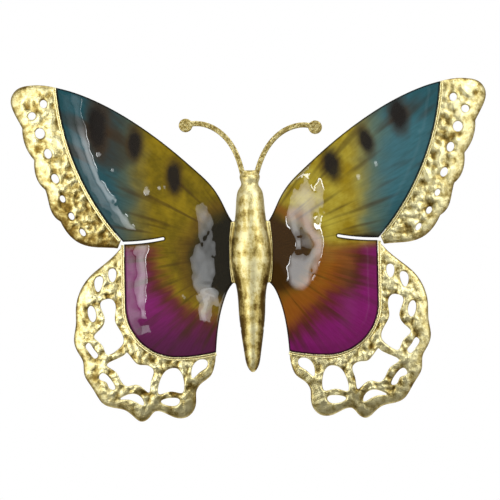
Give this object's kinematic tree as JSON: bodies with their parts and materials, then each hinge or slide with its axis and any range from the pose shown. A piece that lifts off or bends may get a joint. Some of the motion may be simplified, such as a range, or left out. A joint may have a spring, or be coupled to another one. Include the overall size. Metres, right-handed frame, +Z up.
{
  "type": "butterfly wall ornament",
  "caption": "Metal butterfly wall ornament with domed lacquered wings, pierced gold lace borders, a hollow gold body, curled antennae and a cranked hanger with a nail hole behind.",
  "frame": {"origin": "centre of the hanger's nail hole, in the hanger's back face, which lies on the wall", "axes": "+Z up from tail to head, +X to the right seen from the front, +Y into the wall, front faces -Y"},
  "size_m": [0.305, 0.017, 0.2169],
  "materials": {
    "wing_lacquer": "high-gloss coloured lacquer, teal, olive, brown and purple",
    "gilt_lace": "hammered gold leaf finish",
    "gilt_rim": "smooth pale gold bead",
    "gilt_body": "satin gold leaf finish",
    "gilt_antenna": "granular dark gold finish",
    "hanger_steel": "gold painted steel strip",
    "weld_metal": "dull weld metal and solder"
  },
  "bodies": {
    "root": {"antenna_left": "gilt_antenna", "antenna_right": "gilt_antenna", "back_plate": "hanger_steel", "body_shell": "gilt_body", "forewing_lace_left": "gilt_lace", "forewing_lace_right": "gilt_lace", "forewing_rim_left": "gilt_rim", "forewing_rim_right": "gilt_rim", "hanger_welds": "weld_metal", "head_solder": "weld_metal", "hindwing_lace_left": "gilt_lace", "hindwing_lace_right": "gilt_lace", "hindwing_rim_left": "gilt_rim", "hindwing_rim_right": "gilt_rim", "root_welds": "weld_metal", "wall_hanger": "hanger_steel", "wing_panel_left": "wing_lacquer", "wing_panel_right": "wing_lacquer"}
  },
  "joints": []
}
